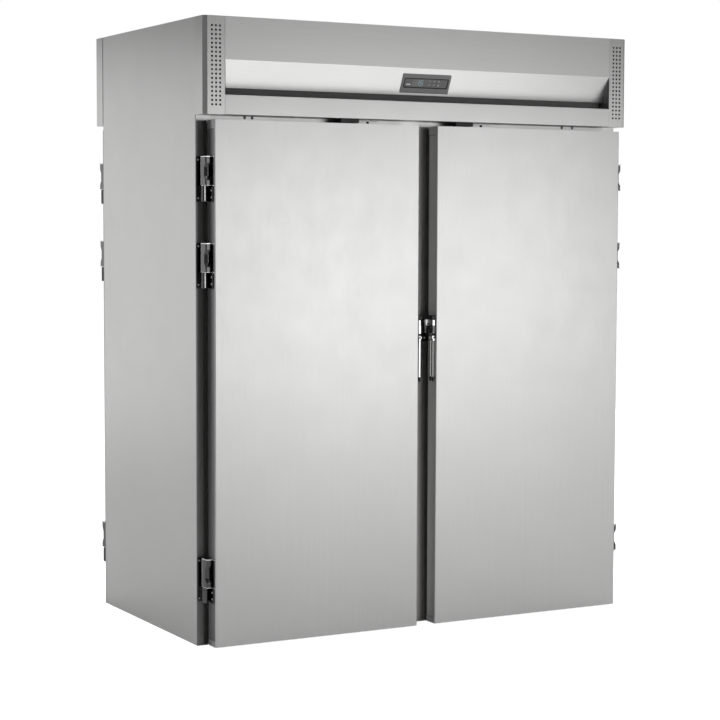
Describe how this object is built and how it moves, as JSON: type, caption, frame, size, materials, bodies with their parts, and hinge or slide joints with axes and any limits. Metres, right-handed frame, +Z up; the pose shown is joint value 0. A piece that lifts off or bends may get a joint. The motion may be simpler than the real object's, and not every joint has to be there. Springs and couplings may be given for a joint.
{
  "type": "roll-through proofing cabinet",
  "caption": "Stainless roll-through proofing cabinet: insulated doors on both faces, vented fascia with a digital controller, open floor for rolled-in racks.",
  "frame": {"origin": "on the floor, in the middle of the cabinet's footprint", "axes": "+Z up, +X to the right of a person facing the front, -Y out of the front face with the controller"},
  "size_m": [1.82, 1.072, 2.25],
  "materials": {
    "outer_steel": "satin",
    "inner_steel": "satin",
    "foam": "matte",
    "seal_rubber": "matte",
    "hinge_chrome": "polished",
    "lever_chrome": "polished",
    "black_plastic": "satin",
    "breaker_plastic": "satin",
    "bumper_plastic": "satin",
    "panel_grey": "satin",
    "window_glass": "gloss",
    "board": "satin",
    "fan_metal": "satin",
    "heater_steel": "satin",
    "galvanised": "satin",
    "lamp_glass": "gloss"
  },
  "bodies": {
    "cabinet": {"air_heaters": "heater_steel", "body_insulation": "foam", "cable_gland": "black_plastic", "ceiling_deck": "outer_steel", "ceiling_grilles": "inner_steel", "ceiling_lamps": "lamp_glass", "control_board": "board", "control_plate": "panel_grey", "control_window": "window_glass", "door_frames": "outer_steel", "door_switches": "black_plastic", "electrical_box": "galvanised", "fan_housings": "galvanised", "fan_motors": "fan_metal", "front_fascia_ends": "outer_steel", "front_fascia_lip": "outer_steel", "front_fascia_panel": "outer_steel", "hinge_bases": "hinge_chrome", "humidifier": "heater_steel", "humidity_probe": "inner_steel", "latch_keepers": "black_plastic", "rear_fascia_ends": "outer_steel", "rear_fascia_lip": "outer_steel", "rear_fascia_panel": "outer_steel", "side_breakers": "breaker_plastic", "side_liners": "inner_steel", "side_panel_left": "outer_steel", "side_panel_right": "outer_steel", "top_cover": "outer_steel", "trolley_bumpers": "bumper_plastic"},
    "left_fan": {"fan_rotor_left": "fan_metal"},
    "right_fan": {"fan_rotor_right": "fan_metal"},
    "front_left_door": {"front_left_door_core": "foam", "front_left_door_hinge_straps": "hinge_chrome", "front_left_door_latch_housing": "black_plastic", "front_left_door_liner": "inner_steel", "front_left_door_seals": "seal_rubber", "front_left_door_skin": "outer_steel"},
    "front_left_lever": {"front_left_door_latch_lever": "lever_chrome"},
    "front_right_door": {"front_right_door_core": "foam", "front_right_door_hinge_straps": "hinge_chrome", "front_right_door_latch_housing": "black_plastic", "front_right_door_liner": "inner_steel", "front_right_door_seals": "seal_rubber", "front_right_door_skin": "outer_steel"},
    "front_right_lever": {"front_right_door_latch_lever": "lever_chrome"},
    "rear_left_door": {"rear_left_door_core": "foam", "rear_left_door_hinge_straps": "hinge_chrome", "rear_left_door_latch_housing": "black_plastic", "rear_left_door_liner": "inner_steel", "rear_left_door_seals": "seal_rubber", "rear_left_door_skin": "outer_steel"},
    "rear_left_lever": {"rear_left_door_latch_lever": "lever_chrome"},
    "rear_right_door": {"rear_right_door_core": "foam", "rear_right_door_hinge_straps": "hinge_chrome", "rear_right_door_latch_housing": "black_plastic", "rear_right_door_liner": "inner_steel", "rear_right_door_seals": "seal_rubber", "rear_right_door_skin": "outer_steel"},
    "rear_right_lever": {"rear_right_door_latch_lever": "lever_chrome"}
  },
  "joints": [
    {"name": "front_left_door_hinge", "type": "hinge", "parent": "cabinet", "child": "front_left_door", "pos_m": [-0.892, -0.489, 1], "axis": [0, 0, -1], "range_deg": [0, 110]},
    {"name": "front_left_lever_pivot", "type": "hinge", "parent": "front_left_door", "child": "front_left_lever", "pos_m": [-0.03, -0.512, 1.122], "axis": [-1, 0, 0], "range_deg": [0, 38], "stiffness_Nm_per_rad": 1.2},
    {"name": "front_right_door_hinge", "type": "hinge", "parent": "cabinet", "child": "front_right_door", "pos_m": [0.892, -0.489, 1], "axis": [0, 0, 1], "range_deg": [0, 110]},
    {"name": "front_right_lever_pivot", "type": "hinge", "parent": "front_right_door", "child": "front_right_lever", "pos_m": [0.03, -0.512, 1.122], "axis": [-1, 0, 0], "range_deg": [0, 38], "stiffness_Nm_per_rad": 1.2},
    {"name": "rear_left_door_hinge", "type": "hinge", "parent": "cabinet", "child": "rear_left_door", "pos_m": [-0.892, 0.489, 1], "axis": [0, 0, 1], "range_deg": [0, 110]},
    {"name": "rear_left_lever_pivot", "type": "hinge", "parent": "rear_left_door", "child": "rear_left_lever", "pos_m": [-0.03, 0.512, 1.122], "axis": [1, 0, 0], "range_deg": [0, 38], "stiffness_Nm_per_rad": 1.2},
    {"name": "rear_right_door_hinge", "type": "hinge", "parent": "cabinet", "child": "rear_right_door", "pos_m": [0.892, 0.489, 1], "axis": [0, 0, -1], "range_deg": [0, 110]},
    {"name": "rear_right_lever_pivot", "type": "hinge", "parent": "rear_right_door", "child": "rear_right_lever", "pos_m": [0.03, 0.512, 1.122], "axis": [1, 0, 0], "range_deg": [0, 38], "stiffness_Nm_per_rad": 1.2},
    {"name": "left_fan_spin", "type": "hinge", "parent": "cabinet", "child": "left_fan", "pos_m": [-0.425, 0, 1.942], "axis": [0, 0, 1], "continuous": true},
    {"name": "right_fan_spin", "type": "hinge", "parent": "cabinet", "child": "right_fan", "pos_m": [0.425, 0, 1.942], "axis": [0, 0, 1], "continuous": true}
  ]
}
